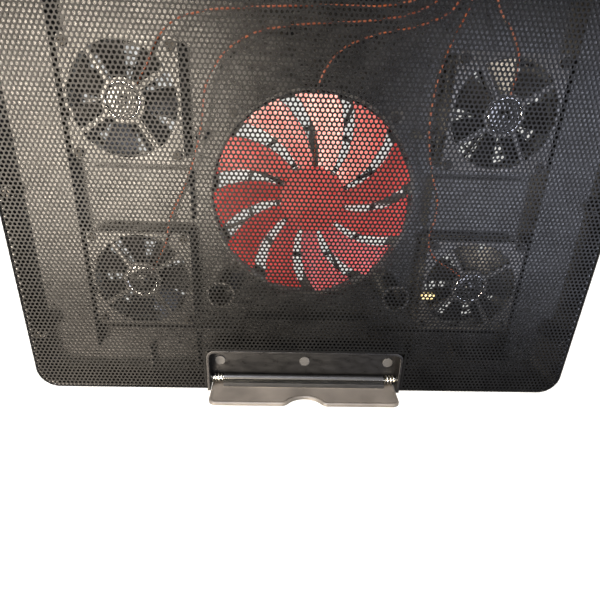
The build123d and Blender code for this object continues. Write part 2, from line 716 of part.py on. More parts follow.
with BuildPart() as leg_pins:
    for side in (-1, 1):
        bar((side * leg_x - leg_pin_length / 2 + 0.1, leg_y, leg_z), leg_pin_length - 0.2, leg_pin_radius)
finish(leg_pins.part, "leg_pins")

# ---- leads --------------------------------------------------------------------------------------
# Each fan has a red and a black lead, side by side, from its motor base to the board.
# A route is a few points: X, distance behind the front edge, and Z.
routes = {
    "front_left": [(-109.5, 96.5, 20.1), (-103, 108, 20.8), (-98, 119, 21.2), (-96, 132, 20.6),
                   (-89, 146, 19), (-82, 160, 18), (-76, 177, 17), (-71, 196, 17), (-69, 216, 17),
                   (-57, 234, 16), (-38, 245, 15), (-8, 250, 14), (24, 252, 14), (50, 256, 13),
                   (66, 263, 12), (72, 270.6, 10.6)],
    "front_right": [(109.5, 96.5, 20.1), (100, 103, 20.8), (90, 108, 21.2), (82.5, 116, 21),
                    (81, 127, 20.4), (84, 139, 20), (83.5, 151, 20), (78.5, 164, 19), (74, 180, 17),
                    (71, 200, 17), (72, 222, 17), (77, 241, 16), (84, 256, 14), (90, 270.6, 10.6)],
    "rear_left": [(-109.5, 213, 20.1), (-101, 225, 21), (-95, 238, 20.8), (-84, 249, 18),
                  (-64, 254.5, 16), (-34, 257, 15), (0, 259.5, 14.2), (34, 260, 13), (54, 264, 11.5),
                  (63, 270.6, 10.6)],
    "rear_right": [(118, 216.5, 20.2), (119, 228, 21.2), (118, 240, 20.2), (112, 252, 16),
                   (104, 262, 12.5), (102, 270.6, 10.6)],
    "big": [(0, 166, 7.6), (0.5, 186, 7.6), (0, 206, 7.8), (1, 222, 8.6), (12, 238, 9.5), (34, 247, 10.5),
            (58, 251, 11), (77, 259, 11), (83, 270.6, 10.5)],
}


def lead(points):
    """A round wire along straight runs joined by tangent arcs as large as the runs allow."""
    corners = [Vector(*p) for p in points]
    radii = []
    for before, corner, after in zip(corners, corners[1:], corners[2:]):
        arriving = corner - before
        leaving = after - corner
        half_turn = radians(arriving.get_angle(leaving)) / 2
        shorter = min(arriving.length, leaving.length)
        radii.append(0.45 * shorter * cos(half_turn) / sin(half_turn))
    with BuildPart() as wire:
        with BuildLine() as route:
            FilletPolyline(*corners, radius=radii)
        with BuildSketch(Plane(route.line @ 0, z_dir=route.line % 0)):
            Circle(wire_radius)
        sweep()
    run = sum(edge.length for edge in route.edges())
    section = pi * wire_radius**2
    print(f"lead {run:.0f} mm, tightest bend {min(radii):.1f} mm, fill {wire.part.volume / section / run:.3f}")
    return wire.part


for colour, shift in (("red", (0.4, 0, 1.2)), ("black", (0, 0, 0))):
    with BuildPart() as leads:
        for route_points in routes.values():
            add(lead([(x + shift[0], back(y) + shift[1], z + shift[2]) for x, y, z in route_points]))
    finish(leads.part, f"{colour}_leads")

# forked posts that hold the leads off the floor; the second lead runs across the pad
with BuildPart() as wire_clips:
    for x, y, z, across in ((-73.6, 186, 17.0, False), (-20, 248, 14.4, True), (72.5, 190, 17.0, False)):
        spread = (3.2, 4.2) if across else (4.2, 3.2)
        outer = (4.0, 6.6) if across else (6.6, 4.0)
        with Locations((x + 0.4, back(y), (floor_top + z + 2.0) / 2)):
            Box(*outer, z + 2.0 - floor_top)
        with Locations((x + 0.4, back(y), z + 1.0)):
            Box(spread[0] + (2 if across else 0), spread[1] + (0 if across else 2), 3.2, mode=Mode.SUBTRACT)
finish(wire_clips.part, "wire_clips")
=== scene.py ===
# %% [markdown]
# # A laptop cooling pad
# A thin moulded tray holds one large red fan and four small black ones under a sheet of perforated
# steel. A sprung flap stands up at the front edge and stops a laptop from sliding off.
# The hard parts come from a CAD model, which this script loads as a fixed frame. The script then
# makes the finishes, the perforated sheet and the caps of the small fans, under a light and a camera
# of its own.

# %% Load the frame
import json
from math import cos, pi, radians, sin, sqrt

import bmesh
import bpy
import numpy as np
from mathutils import Matrix, Vector


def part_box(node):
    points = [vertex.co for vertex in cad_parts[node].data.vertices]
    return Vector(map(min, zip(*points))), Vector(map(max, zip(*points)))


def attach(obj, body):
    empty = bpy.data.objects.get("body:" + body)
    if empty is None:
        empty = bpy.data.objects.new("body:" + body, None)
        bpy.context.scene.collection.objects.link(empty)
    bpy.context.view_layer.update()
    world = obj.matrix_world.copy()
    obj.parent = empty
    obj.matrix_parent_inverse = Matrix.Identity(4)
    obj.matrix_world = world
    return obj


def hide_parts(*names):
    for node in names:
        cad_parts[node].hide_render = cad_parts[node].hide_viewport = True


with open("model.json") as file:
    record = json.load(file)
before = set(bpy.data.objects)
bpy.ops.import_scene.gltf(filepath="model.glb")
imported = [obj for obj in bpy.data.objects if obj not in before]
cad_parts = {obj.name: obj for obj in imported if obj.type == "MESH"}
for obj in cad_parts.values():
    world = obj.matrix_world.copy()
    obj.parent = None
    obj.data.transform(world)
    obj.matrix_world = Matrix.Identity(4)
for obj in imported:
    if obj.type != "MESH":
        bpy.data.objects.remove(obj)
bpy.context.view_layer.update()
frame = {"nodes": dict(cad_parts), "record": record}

mm = 0.001

# %% [markdown]
# ## The camera
# The pad is looked at from above the middle of its rear half, through a short lens. A short lens
# close to the panel makes the near rows of holes larger than the far ones, so the camera stands at
# its real distance and isn't moved back.

# %% The camera
camera_data = bpy.data.cameras.new("camera")
camera_data.lens = 26.99
camera_data.sensor_width = 36.0
camera_data.clip_start = 0.01
camera_data.clip_end = 20.0
camera = bpy.data.objects.new("camera", camera_data)
camera.location = (-0.0195, 0.0607, 0.3206)
camera.rotation_euler = [radians(a) for a in (-24.0, -1.688, 2.121)]
bpy.context.scene.collection.objects.link(camera)
bpy.context.scene.camera = camera

# %% [markdown]
# ## Floor and light
# A large pale floor and a pale surround give soft light from everywhere, as in a product picture.
# One set of lamps could light the dark plastic and draw its reflections as well, but then each change
# to one would change the other. So three gloss lamps give only the reflections: a warm one that lies
# on the left of the tray's floor, under the panel, a weaker one nearer the front, and a cool one on
# the right. The left and top lamps give only soft light, and a narrow one behind lights the flap.
# The floor is grey paper that glows a little. It reads as white, and bright white paper would show
# as a pale haze in the tray's glossy walls.

# %% Floor and light
def linear(code):
    """An sRGB colour such as #C8463C as linear red, green, blue and alpha."""
    shares = [int(code[i:i + 2], 16) / 255 for i in (1, 3, 5)]
    return [s / 12.92 if s <= 0.04045 else ((s + 0.055) / 1.055) ** 2.4 for s in shares] + [1.0]


def add(tree, kind, sockets=None, **settings):
    """Adds a node. Settings are its properties; sockets are values, or the outputs that feed them."""
    made = tree.nodes.new(kind)
    for name, value in settings.items():
        setattr(made, name, value)
    for name, value in (sockets or {}).items():
        if isinstance(value, bpy.types.NodeSocket):
            tree.links.new(value, made.inputs[name])
        else:
            made.inputs[name].default_value = value
    return made


world = bpy.data.worlds.new("pale surround")
world.use_nodes = True
world.node_tree.nodes["Background"].inputs["Color"].default_value = linear("#F1F3F8")
world.node_tree.nodes["Background"].inputs["Strength"].default_value = 0.20
bpy.context.scene.world = world
bpy.context.scene.view_settings.view_transform = "Standard"


def lamp(name, place, target, size, power, colour, glossy=True, diffuse=True, spread=180):
    """A square lamp that faces a point. It may be narrow, or give only reflections or only soft light."""
    data = bpy.data.lights.new(name, "AREA")
    data.shape = "SQUARE"
    data.size = size
    data.spread = radians(spread)
    data.energy = power
    data.color = linear(colour)[:3]
    made = bpy.data.objects.new(name, data)
    made.location = place
    made.rotation_euler = (Vector(target) - Vector(place)).to_track_quat("-Z", "Y").to_euler()
    made.visible_glossy = glossy
    made.visible_diffuse = diffuse
    bpy.context.scene.collection.objects.link(made)


lamp("warm gloss lamp", (-0.62, -0.04, 1.10), (-0.08, 0.02, 0), 0.75, 100.0, "#FFF1DE", diffuse=False)
lamp("front gloss lamp", (-0.66, -0.92, 0.95), (-0.05, -0.1, 0), 0.6, 30.0, "#FFEEDA", diffuse=False)
lamp("cool gloss lamp", (0.72, -0.12, 1.05), (0.1, 0, 0), 0.7, 28.0, "#D2D6E8", diffuse=False)
lamp("left lamp", (-0.55, 0.15, 0.95), (0, 0, 0), 0.5, 18.0, "#FFEFD8", glossy=False)
lamp("back lamp", (-0.20, 1.05, 0.42), (0, -0.1, 0), 0.6, 3.6, "#F6F6FF", spread=50)
lamp("top lamp", (-0.05, 0.10, 0.9), (0, 0, 0), 0.35, 16.0, "#FFFFFF", glossy=False)

floor_mesh = bpy.data.meshes.new("floor")
bm = bmesh.new()
bmesh.ops.create_grid(bm, x_segments=1, y_segments=1, size=3.0)
bmesh.ops.translate(bm, verts=bm.verts, vec=(0, 0, -0.2 * mm))
bm.to_mesh(floor_mesh)
bm.free()
floor = bpy.data.objects.new("floor", floor_mesh)
bpy.context.scene.collection.objects.link(floor)

paper = bpy.data.materials.new("matt paper")
paper.use_nodes = True
paper_shader = paper.node_tree.nodes["Principled BSDF"]
paper_shader.inputs["Base Color"].default_value = linear("#9A9997")
paper_shader.inputs["Roughness"].default_value = 0.9
paper_shader.inputs["Emission Color"].default_value = linear("#F7F7F5")
paper_shader.inputs["Emission Strength"].default_value = 0.55
floor_mesh.materials.append(paper)
print(len(bpy.data.lights), "lamps, a floor and a surround")

# %% [markdown]
# ## Finishes
# Nearly everything in the pad is dark, so what tells one piece from another is gloss and texture.
# Each finish starts from one shader, with patterns in Object coordinates: the CAD pieces sit at the
# origin, so a pattern keeps its real size in millimetres and rides with its piece.

# %% The start of a finish
def begin(name, roughness, ior=1.5, metallic=0.0):
    """A material, its node tree, its shader and the coordinates, in metres, that its patterns read."""
    made = bpy.data.materials.new(name)
    made.use_nodes = True
    tree = made.node_tree
    shader = tree.nodes["Principled BSDF"]
    shader.inputs["Roughness"].default_value = roughness
    shader.inputs["Metallic"].default_value = metallic
    if not metallic:
        shader.inputs["IOR"].default_value = ior
    place = tree.nodes.new("ShaderNodeTexCoord").outputs["Object"]
    return made, tree, shader, place


def noise(tree, place, size, detail=2.0, stretch=(1, 1, 1)):
    """Soft irregular shades, with lumps of this size in metres. A stretch over 1 shortens them."""
    spread = add(tree, "ShaderNodeMapping", {"Vector": place, "Scale": [s / size for s in stretch]})
    return add(tree, "ShaderNodeTexNoise", {"Vector": spread.outputs["Vector"], "Scale": 1.0,
                                            "Detail": detail, "Roughness": 0.55}).outputs["Fac"]


def tint(tree, fac, low, high, at=(0.35, 0.65)):
    """Turns a pattern into a run from one colour to another."""
    ramp = add(tree, "ShaderNodeValToRGB", {"Fac": fac})
    for stop, where, code in zip(ramp.color_ramp.elements, at, (low, high)):
        stop.position = where
        stop.color = linear(code)
    return ramp.outputs["Color"]


def span(tree, value, low, high, start=0.3, end=0.7):
    """Spreads the middle of a pattern over a range of values."""
    return add(tree, "ShaderNodeMapRange", {"Value": value, "From Min": start, "From Max": end,
                                            "To Min": low, "To Max": high}).outputs["Result"]


def relief(tree, shader, height, depth, strength):
    """Raises the surface by a pattern; depth is in metres."""
    bump = add(tree, "ShaderNodeBump", {"Height": height, "Distance": depth, "Strength": strength})
    tree.links.new(bump.outputs["Normal"], shader.inputs["Normal"])


def feed(tree, value, shader, socket):
    """Lets a pattern drive one of the shader's sockets."""
    tree.links.new(value, shader.inputs[socket])


# %% [markdown]
# ### Moulded plastic
# ABS and PBT come out of a spark-eroded mould with a fine, even grain, about half a millimetre from
# peak to peak, and with slow patches where the plastic cooled at different speeds. A noise at each of
# the two sizes gives both, and a third adds the marks of dust and hands that dull a patch here and
# there.
# A mask can hold part of a piece at the darker colour, which paints shade there.

# %% Moulded plastic
def moulded(name, dark, light, roughness, grain, grain_depth, ior=1.54, marks=0.10,
            at=(0.35, 0.65), mask=None):
    """A moulded plastic. A mask is a function that makes a pattern of 0 and 1 to dim the patches."""
    made, tree, shader, place = begin(name, roughness, ior)
    patches = noise(tree, place, 35 * mm, 3.0)
    if mask is not None:
        patches = add(tree, "ShaderNodeMath", {0: patches, 1: mask(tree, place)},
                      operation="MULTIPLY").outputs["Value"]
    peaks = noise(tree, place, grain, 2.0)
    scuffs = noise(tree, place, 9 * mm, 5.0, (1, 2.4, 1))
    feed(tree, tint(tree, patches, dark, light, at), shader, "Base Color")
    feed(tree, span(tree, scuffs, roughness - marks * 0.5, roughness + marks), shader, "Roughness")
    relief(tree, shader, peaks, grain_depth, 0.7)
    return made


def flap_shelf_shade_mask(tree, place):
    """1 on the flap's upright wall and 0 on its shelf and barrel, which get painted shade."""
    inner_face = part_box("stopper_flap")[0].y + 3.2 * mm
    across = add(tree, "ShaderNodeSeparateXYZ", {"Vector": place})
    return span(tree, across.outputs["Y"], 1.0, 0.0, inner_face, inner_face + 0.6 * mm)


tray_plastic = moulded("black ABS, fine grain", "#0D0C0A", "#191612", 0.24, 0.55 * mm, 0.012 * mm)
frame_plastic = moulded("black PBT fan frame", "#32302D", "#4A4641", 0.22, 0.45 * mm, 0.010 * mm)
blade_plastic = moulded("black PBT fan blades", "#100F0F", "#1C1B1A", 0.28, 0.5 * mm, 0.008 * mm)
leg_plastic = moulded("black ABS legs", "#151412", "#24211D", 0.42, 0.45 * mm, 0.014 * mm)
well_plastic = moulded("satin charcoal ABS", "#0A0909", "#121110", 0.30, 0.35 * mm, 0.010 * mm)
# The low stop, #080808 at 0.0, is painted shade that the mask lays on the flap's shelf and barrel.
flap_plastic = moulded("satin grey-brown ABS", "#080808", "#5C554C", 0.45, 0.35 * mm, 0.010 * mm,
                       at=(0.0, 0.65), mask=flap_shelf_shade_mask)
wheel_plastic = moulded("black acetal wheel", "#131212", "#1F1E1C", 0.40, 0.4 * mm, 0.010 * mm, 1.48)
red_plastic = moulded("red polycarbonate blades", "#B92A24", "#D9453F", 0.30, 0.6 * mm, 0.008 * mm, 1.58)
well_plastic.node_tree.nodes["Principled BSDF"].inputs["Specular IOR Level"].default_value = 0.25
print("eight moulded plastics")

# %% [markdown]
# The tray's outer walls have a coarser, duller grain than its floor. A second material would need
# faces of its own, so the one shader looks how far out a point lies and lowers the specular level
# there. The red blades are slightly translucent: red light goes furthest into the plastic.

# %% Outer walls and red blades
tree = tray_plastic.node_tree
inner_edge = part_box("bottom_tray")[1] - Vector((1, 1, 0)) * mm
place = tree.nodes["Texture Coordinate"].outputs["Object"]
from_middle = add(tree, "ShaderNodeVectorMath", {0: place}, operation="ABSOLUTE")
past = add(tree, "ShaderNodeVectorMath", {0: from_middle.outputs["Vector"], 1: inner_edge},
           operation="SUBTRACT")
past = add(tree, "ShaderNodeSeparateXYZ", {"Vector": past.outputs["Vector"]})
outside = add(tree, "ShaderNodeMath", {0: past.outputs["X"], 1: past.outputs["Y"]}, operation="MAXIMUM")
feed(tree, span(tree, outside.outputs["Value"], 0.5, 0.2, 0.0, 0.2 * mm),
     tree.nodes["Principled BSDF"], "Specular IOR Level")

red_shader = red_plastic.node_tree.nodes["Principled BSDF"]
for socket, value in (("Subsurface Weight", 0.15), ("Subsurface Radius", (0.003, 0.0006, 0.0004)),
                      ("Subsurface Scale", 1.0), ("Coat Weight", 0.2)):
    red_shader.inputs[socket].default_value = value
print("outer walls dulled, red blades made translucent")

# %% [markdown]
# ### Powder-coated steel
# The panel is sprayed with black powder and baked. The melted powder draws into a low orange peel
# about a millimetre across, and hand contact polishes it in broad patches. The coat is a dull one, so
# its specular level is low, and the webs stay darker than what shines through the holes.

# %% Powder-coated steel
panel_paint, tree, shader, place = begin("black powder coat on steel", 0.38, 1.5)
feed(tree, tint(tree, noise(tree, place, 28 * mm, 3.0), "#060606", "#0D0D0D"), shader, "Base Color")
feed(tree, span(tree, noise(tree, place, 16 * mm, 4.0), 0.32, 0.44), shader, "Roughness")
shader.inputs["Specular IOR Level"].default_value = 0.07
relief(tree, shader, noise(tree, place, 1.1 * mm, 1.0), 0.03 * mm, 0.8)
print("panel finish made")

# %% [markdown]
# ### Bare and plated metals
# The hinge rod is ground and polished, so its fine scratches run round it: a noise that is squeezed
# along X draws them. Springs are bright drawn wire, screws and nuts are blackened, and the sockets
# and the legs' pins are plated.

# %% Bare and plated metals
def metal(name, dark, light, roughness, size, stretch, depth):
    """A bare or plated metal whose scratches set its colour, roughness and relief alike."""
    made, tree, shader, place = begin(name, roughness, metallic=1.0)
    grain = noise(tree, place, size, 4.0, stretch)
    feed(tree, tint(tree, grain, dark, light), shader, "Base Color")
    feed(tree, span(tree, grain, roughness * 0.75, roughness * 1.35), shader, "Roughness")
    relief(tree, shader, grain, depth, 0.5)
    return made


rod_steel = metal("polished steel rod", "#7F7D76", "#B5B2A8", 0.16, 1.2 * mm, (6, 1, 1), 0.004 * mm)
spring_steel = metal("drawn spring wire", "#9B978C", "#CFCABC", 0.26, 0.5 * mm, (1, 3, 3), 0.004 * mm)
screw_steel = metal("blackened screw steel", "#1E1D1C", "#3B3936", 0.38, 0.8 * mm, (1, 1, 1), 0.006 * mm)
plated_steel = metal("zinc-plated steel", "#A4A5A2", "#CDCECA", 0.30, 2.2 * mm, (1, 1, 1), 0.004 * mm)
shaft_steel = metal("ground shaft steel", "#A8A9AA", "#D0D1D2", 0.18, 0.6 * mm, (1, 1, 8), 0.002 * mm)
bronze = metal("oiled sintered bronze", "#6E4E2A", "#A97B45", 0.42, 0.35 * mm, (1, 1, 1), 0.02 * mm)
core_steel = metal("silicon steel laminations", "#4A4A4C", "#86868A", 0.45, 1.4 * mm, (1, 1, 9), 0.03 * mm)
chrome = metal("chromed ring", "#8F9092", "#D9DADC", 0.10, 3.0 * mm, (1, 1, 1), 0.001 * mm)
print("eight metals")

# %% [markdown]
# ### Rubber, ferrite, insulation, board and lens
# Rubber feet are matt with a coarse grain. Ferrite is a pressed black powder with bright specks.
# PVC insulation is smooth and slightly waxy. A circuit board has copper tracks that stand out under
# a green lacquer. The lens of a light is a clear plastic that glows a little.

# %% Rubber, ferrite and insulation
def plain(name, dark, light, roughness, size, depth, ior=1.5, sheen=0.0):
    """A rubber, ferrite or PVC with lumps of one size."""
    made, tree, shader, place = begin(name, roughness, ior)
    lumps = noise(tree, place, size, 3.0)
    feed(tree, tint(tree, lumps, dark, light), shader, "Base Color")
    feed(tree, span(tree, noise(tree, place, size * 6, 3.0), roughness - 0.06, roughness + 0.08),
         shader, "Roughness")
    shader.inputs["Sheen Weight"].default_value = sheen
    relief(tree, shader, lumps, depth, 0.8)
    return made


foot_rubber = plain("black rubber foot", "#121212", "#232221", 0.78, 0.7 * mm, 0.05 * mm, 1.52, 0.15)
bumper_rubber = plain("grey rubber bumper", "#1E1D1B", "#2B2926", 0.60, 0.6 * mm, 0.03 * mm, 1.52, 0.1)
ferrite = plain("pressed ferrite", "#1B1B1C", "#3A3A3B", 0.62, 0.35 * mm, 0.02 * mm, 1.9)
red_pvc = plain("red PVC insulation", "#7C3218", "#A85428", 0.40, 2.5 * mm, 0.01 * mm, 1.53)
black_pvc = plain("black PVC insulation", "#0E0E0E", "#1D1C1B", 0.40, 2.5 * mm, 0.01 * mm, 1.53)

# %% Circuit board and lens
board_green, tree, shader, place = begin("green solder mask on glass epoxy", 0.28, 1.55)
tracks = add(tree, "ShaderNodeTexBrick", {
    "Vector": add(tree, "ShaderNodeMapping", {"Vector": place, "Scale": (1 / mm,) * 3}).outputs["Vector"],
    "Scale": 0.35, "Mortar Size": 0.12, "Mortar Smooth": 0.1, "Brick Width": 1.9, "Row Height": 0.55,
    "Color1": linear("#0E4A24"), "Color2": linear("#125A2C"), "Mortar": linear("#2C7A40")})
feed(tree, tracks.outputs["Color"], shader, "Base Color")
feed(tree, span(tree, noise(tree, place, 4 * mm), 0.2, 0.4), shader, "Roughness")
relief(tree, shader, tracks.outputs["Fac"], 0.04 * mm, 0.8)

lens, tree, shader, place = begin("clear acrylic lens", 0.14, 1.49)
glow = span(tree, noise(tree, place, 1.5 * mm), 0.4, 1.0)
feed(tree, tint(tree, glow, "#E9D58A", "#FFF9E0", (0.4, 1.0)), shader, "Base Color")
feed(tree, tint(tree, glow, "#FFC94A", "#FFF3C0", (0.4, 1.0)), shader, "Emission Color")
shader.inputs["Emission Strength"].default_value = 1.2
relief(tree, shader, noise(tree, place, 0.6 * mm), 0.02 * mm, 0.5)
print("rubber, ferrite, PVC, board and lens finishes made")

# %% [markdown]
# ### Which piece wears which finish
# The record names a material slot for each CAD piece, so one table from slot to finish dresses all
# of them at once.

# %% Dress the CAD pieces
finish_of_slot = {
    "tray_plastic": tray_plastic, "panel_steel": panel_paint, "plated_steel": plated_steel,
    "blackened_screw_steel": screw_steel, "well_plastic": well_plastic, "bumper_rubber": bumper_rubber,
    "flap_plastic": flap_plastic, "polished_rod_steel": rod_steel, "spring_wire": spring_steel,
    "fan_frame_plastic": frame_plastic, "red_impeller_plastic": red_plastic,
    "black_impeller_plastic": blade_plastic, "sintered_bronze": bronze, "shaft_steel": shaft_steel,
    "core_laminations": core_steel, "ferrite": ferrite, "circuit_board": board_green,
    "chromed_cap": chrome, "light_lens": lens, "wheel_plastic": wheel_plastic,
    "foot_rubber": foot_rubber, "leg_plastic": leg_plastic, "red_wire": red_pvc, "black_wire": black_pvc,
}
for subpart in frame["record"]["subparts"]:
    mesh = frame["nodes"][subpart["node"]].data
    mesh.materials.clear()
    mesh.materials.append(finish_of_slot[subpart["material_slot"]])
frame["nodes"]["panel_nuts"].data.materials[0] = screw_steel      # the nuts are blackened too

# %% [markdown]
# ## The perforated panel
# The panel is one steel sheet: holes are punched in staggered rows, then its edges are rolled down.
# A bump or a transparency map would be lighter, but the holes would stay flat at the rolled edge and
# cast no shadows, and the depth below them is what the eye reads. So the holes are real.
# One cell of the lattice is a ring of twelve faces round a hole. Two cells make a tile, and two Array
# modifiers repeat the tile. The flat field is then bent as the press bends it, and Solidify gives
# the sheet its thickness. It is made in eight sections, so that no mesh grows too large.

# %% Sizes of the panel
sheet_low, sheet_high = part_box("mesh_panel")
sheet_top = sheet_high.z
sheet_half = Vector((sheet_high.x, sheet_high.y, 0))
sheet_bottom = sheet_low.z
sheet_thickness = 0.8 * mm
pitch = 3.0 * mm
hole_radius = 1.04 * mm
row_step = pitch * sqrt(3) / 2
corner_radius = 16.5 * mm
weld = 0.02 * mm                          # points closer than this become one
on_plane = 1e-7                           # points this near a cutting plane, in metres, lie on it
hem_step = 0.05 * mm                      # the rolled field lies this far inside the hem
roll_radius = 5.0 * mm - hem_step
flat_corner = corner_radius - roll_radius - hem_step
corner_middle = sheet_half - Vector((corner_radius, corner_radius, 0))
field_bottom = sheet_bottom + 1.6 * mm
reach = roll_radius * pi / 2 + (sheet_top - roll_radius - field_bottom) + 1.0 * mm
notch_half = 75.25 * mm
notch_back = sheet_low.y + 35.85 * mm
margin = 1.6 * mm
print("holes on a", pitch / mm, "mm pitch,", round(2 * hole_radius / mm, 2), "mm across")


# %% [markdown]
# The cell starts as a circle of twelve edges, which is the hole. Its edges are extruded once, and the
# new points are moved out to a hexagon: the odd ones to its corners, the even ones to the middles of
# its sides, so that neighbouring cells share every point.

# %% One tile of the lattice
def lattice_tile():
    """A mesh of two staggered cells, the first round the origin."""
    bm = bmesh.new()
    bmesh.ops.create_circle(bm, segments=12, radius=hole_radius)
    grown = bmesh.ops.extrude_edge_only(bm, edges=bm.edges[:])
    for v in (g for g in grown["geom"] if isinstance(g, bmesh.types.BMVert)):
        turn = np.arctan2(v.co.y, v.co.x)
        step = round(turn / (pi / 6))
        away = pitch / 2 if step % 2 == 0 else pitch / sqrt(3)
        v.co = (away * cos(step * pi / 6), away * sin(step * pi / 6), 0)
    second = bmesh.ops.duplicate(bm, geom=bm.verts[:] + bm.edges[:] + bm.faces[:])
    bmesh.ops.translate(bm, verts=[g for g in second["geom"] if isinstance(g, bmesh.types.BMVert)],
                        vec=(pitch / 2, row_step, 0))
    bmesh.ops.remove_doubles(bm, verts=bm.verts, dist=weld)
    bmesh.ops.reverse_faces(bm, faces=[f for f in bm.faces if f.normal.z < 0])
    mesh = bpy.data.meshes.new("lattice tile")
    bm.to_mesh(mesh)
    bm.free()
    return mesh


tile = lattice_tile()
print("one tile has", len(tile.polygons), "faces")


# %% Bend a flat sheet over the edges
def bend(co):
    """Moves flat points so that what lies beyond the flat top rolls over and runs down the sides."""
    sign = np.where(co[:, :2] < 0, -1.0, 1.0)
    away = np.maximum(np.abs(co[:, :2]) - np.array(corner_middle[:2]), 0)
    length = np.hypot(away[:, 0], away[:, 1])
    past = length - flat_corner
    rolled = np.clip(past, 0, roll_radius * pi / 2)
    out = flat_corner + roll_radius * np.sin(rolled / roll_radius)
    drop = roll_radius * (1 - np.cos(rolled / roll_radius)) + np.maximum(past - roll_radius * pi / 2, 0)
    scale = np.where(past > 0, out / np.maximum(length, 1e-9), 1.0)
    base = np.minimum(np.abs(co[:, :2]), np.array(corner_middle[:2]))
    bent = np.empty_like(co)
    bent[:, :2] = sign * (base + away * scale[:, None])
    bent[:, 2] = sheet_top + co[:, 2] - drop
    return bent


# %% [markdown]
# ### The sections
# Each section is cut straight where the notch for the stopper well leaves a plain margin. A plain
# strip fills the margin, so the holes end there as cut-off circles, as they do in a sheet that is
# punched first and notched later. The bottom of the bent field is cut level, behind the hem.

# %% Make the sections
def cut(bm, point, direction, faces=None):
    """Cuts by a plane, or only the faces given, and keeps both sides."""
    chosen = faces if faces is not None else bm.faces[:]
    parts = set(chosen)
    for f in chosen:
        parts.update(f.verts, f.edges)
    bmesh.ops.bisect_plane(bm, geom=list(parts), plane_co=point, plane_no=direction, dist=on_plane)


def make_section(name, x_from, x_to, y_from, y_to):
    """The cells whose middles lie in this flat area, bent, thickened and placed."""
    spread = bpy.data.objects.new(name + " lattice", tile.copy())
    bpy.context.scene.collection.objects.link(spread)
    columns, rows = round((x_to - x_from) / pitch), round((y_to - y_from) / (2 * row_step))
    for step, count in (((pitch, 0, 0), columns), ((0, 2 * row_step, 0), rows)):
        array = spread.modifiers.new("repeat", "ARRAY")
        array.use_relative_offset = False
        array.use_constant_offset = True
        array.constant_offset_displace = step
        array.count = count
        array.use_merge_vertices = True
        array.merge_threshold = weld
    bm = bmesh.new()
    bm.from_object(spread, bpy.context.evaluated_depsgraph_get())
    bpy.data.objects.remove(spread)
    bmesh.ops.translate(bm, verts=bm.verts, vec=(x_from + pitch / 2, y_from + row_step / 2, 0))
    wide, deep = notch_half + margin, notch_back + margin
    if y_from < deep and x_from < wide and x_to > -wide:
        near = [f for f in bm.faces if f.calc_center_median().y < deep + pitch]
        for side in (-wide, wide):
            if x_from - pitch < side < x_to + pitch:
                cut(bm, (side, 0, 0), (1, 0, 0), near)
                near = [f for f in bm.faces if f.calc_center_median().y < deep + pitch]
        near = [f for f in near if abs(f.calc_center_median().x) < wide]
        cut(bm, (0, deep, 0), (0, 1, 0), near)
        inside = [f for f in bm.faces if abs(f.calc_center_median().x) < wide
                  and f.calc_center_median().y < deep]
        bmesh.ops.delete(bm, geom=inside, context="FACES")
    finish_sheet(bm, name)


def finish_sheet(bm, name):
    """Bends a flat mesh, cuts it level at the hem, thickens it and makes it a piece of the panel."""
    flat = np.array([v.co for v in bm.verts], float).reshape(-1, 3)
    flat_map = bm.loops.layers.uv.new("OFBake")      # the flat sheet is its own map for the export
    low, size = flat.min(axis=0), (flat.max(axis=0) - flat.min(axis=0)).max()
    for f in bm.faces:
        for corner in f.loops:
            corner[flat_map].uv = ((corner.vert.co.x - low[0]) / size, (corner.vert.co.y - low[1]) / size)
    for v, place in zip(bm.verts, bend(flat)):
        v.co = place
    bmesh.ops.bisect_plane(bm, geom=bm.verts[:] + bm.edges[:] + bm.faces[:], dist=on_plane,
                           plane_co=(0, 0, field_bottom), plane_no=(0, 0, 1), clear_inner=True)
    mesh = bpy.data.meshes.new(name)
    bm.to_mesh(mesh)
    bm.free()
    piece = bpy.data.objects.new(name, mesh)
    bpy.context.scene.collection.objects.link(piece)
    thick = piece.modifiers.new("thickness", "SOLIDIFY")
    thick.thickness = sheet_thickness
    thick.offset = -1.0
    solid = bpy.data.meshes.new_from_object(piece.evaluated_get(bpy.context.evaluated_depsgraph_get()))
    piece.modifiers.clear()
    piece.data = solid
    solid.name = name
    solid.materials.append(panel_paint)
    solid.set_sharp_from_angle(angle=radians(35))
    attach(piece, "base")
    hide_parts("mesh_panel")
    print(name, "has", sum(len(p.vertices) - 2 for p in solid.polygons), "triangles")


half_width = corner_middle.x + flat_corner + reach
half_depth = corner_middle.y + flat_corner + reach
column_width = pitch * round(half_width / 2 / pitch + 0.49)
row_depth = 2 * row_step * round(half_depth / (2 * row_step) + 0.49)
for column, side in enumerate(("far_left", "left", "right", "far_right")):
    for row, end in enumerate(("front", "rear")):
        make_section(f"panel_{end}_{side}", (column - 2) * column_width, (column - 1) * column_width,
                     (row - 1) * row_depth, row * row_depth)


# %% [markdown]
# ### Margin and hem
# The margin strips lie in the flat sheet beside the notch, and are bent with it. The hem is a
# plain band round the bottom of the sides: a short wall that is extruded along each side and
# spun round each corner.

# %% Margin strips
def strip(bm, x0, x1, y0, y1, parts):
    """A flat strip, divided along its longer side so that it can bend."""
    made = bmesh.ops.create_grid(bm, x_segments=1, y_segments=1, size=0.5)
    for v in made["verts"]:
        v.co = ((x0 + x1) / 2 + v.co.x * (x1 - x0), (y0 + y1) / 2 + v.co.y * (y1 - y0), 0)
    long_edges = [e for e in {e for v in made["verts"] for e in v.link_edges}
                  if (e.calc_length() > 1.1 * min(x1 - x0, y1 - y0))]
    bmesh.ops.subdivide_edges(bm, edges=long_edges, cuts=parts, use_grid_fill=True)


